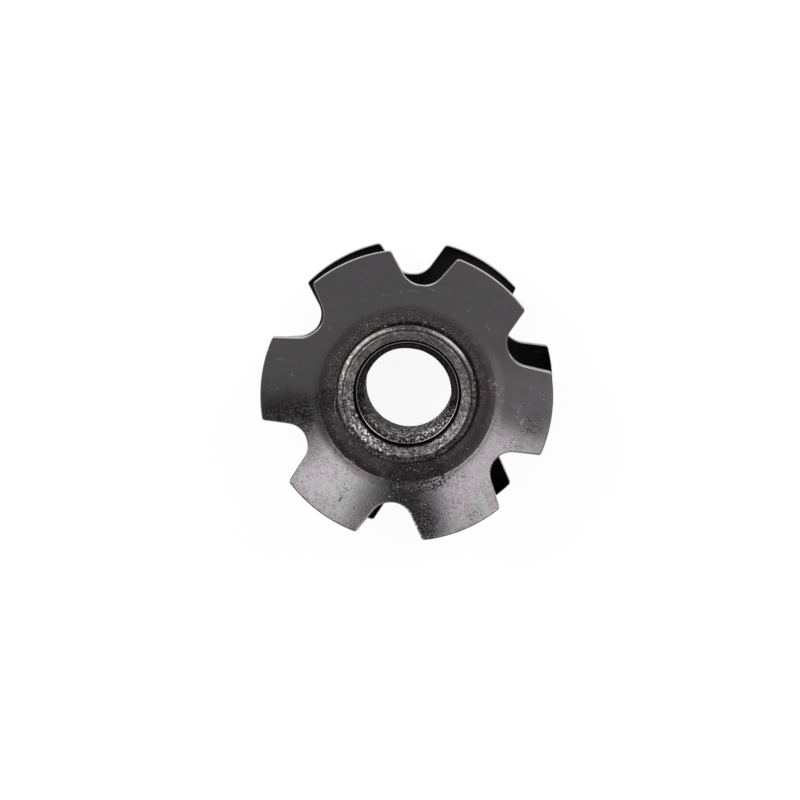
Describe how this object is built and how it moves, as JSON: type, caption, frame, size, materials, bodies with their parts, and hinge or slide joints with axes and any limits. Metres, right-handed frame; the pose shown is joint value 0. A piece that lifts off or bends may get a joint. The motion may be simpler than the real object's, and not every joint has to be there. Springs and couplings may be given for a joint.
{
  "type": "star nut",
  "caption": "Star nut for a steerer tube: dished spring steel plates with notched rims, swaged onto a sleeve with a through thread for the cap bolt.",
  "frame": {"origin": "on the axis, at the foot of the sleeve's lower swaged lip", "axes": "+Z along the axis towards the hollow side of the plates, where the bolt enters; +X through the middle of a lobe of the upper plate"},
  "size_m": [0.0228, 0.0226, 0.012],
  "materials": {
    "plate_steel": "spring steel sheet, black oxide, rubbed bright on edges",
    "sleeve_steel": "turned steel, black oxide, with a grainy swaged lip rubbed bright"
  },
  "bodies": {
    "root": {"upper_star_plate": "plate_steel", "lower_star_plate": "plate_steel", "threaded_sleeve": "sleeve_steel"}
  },
  "joints": []
}
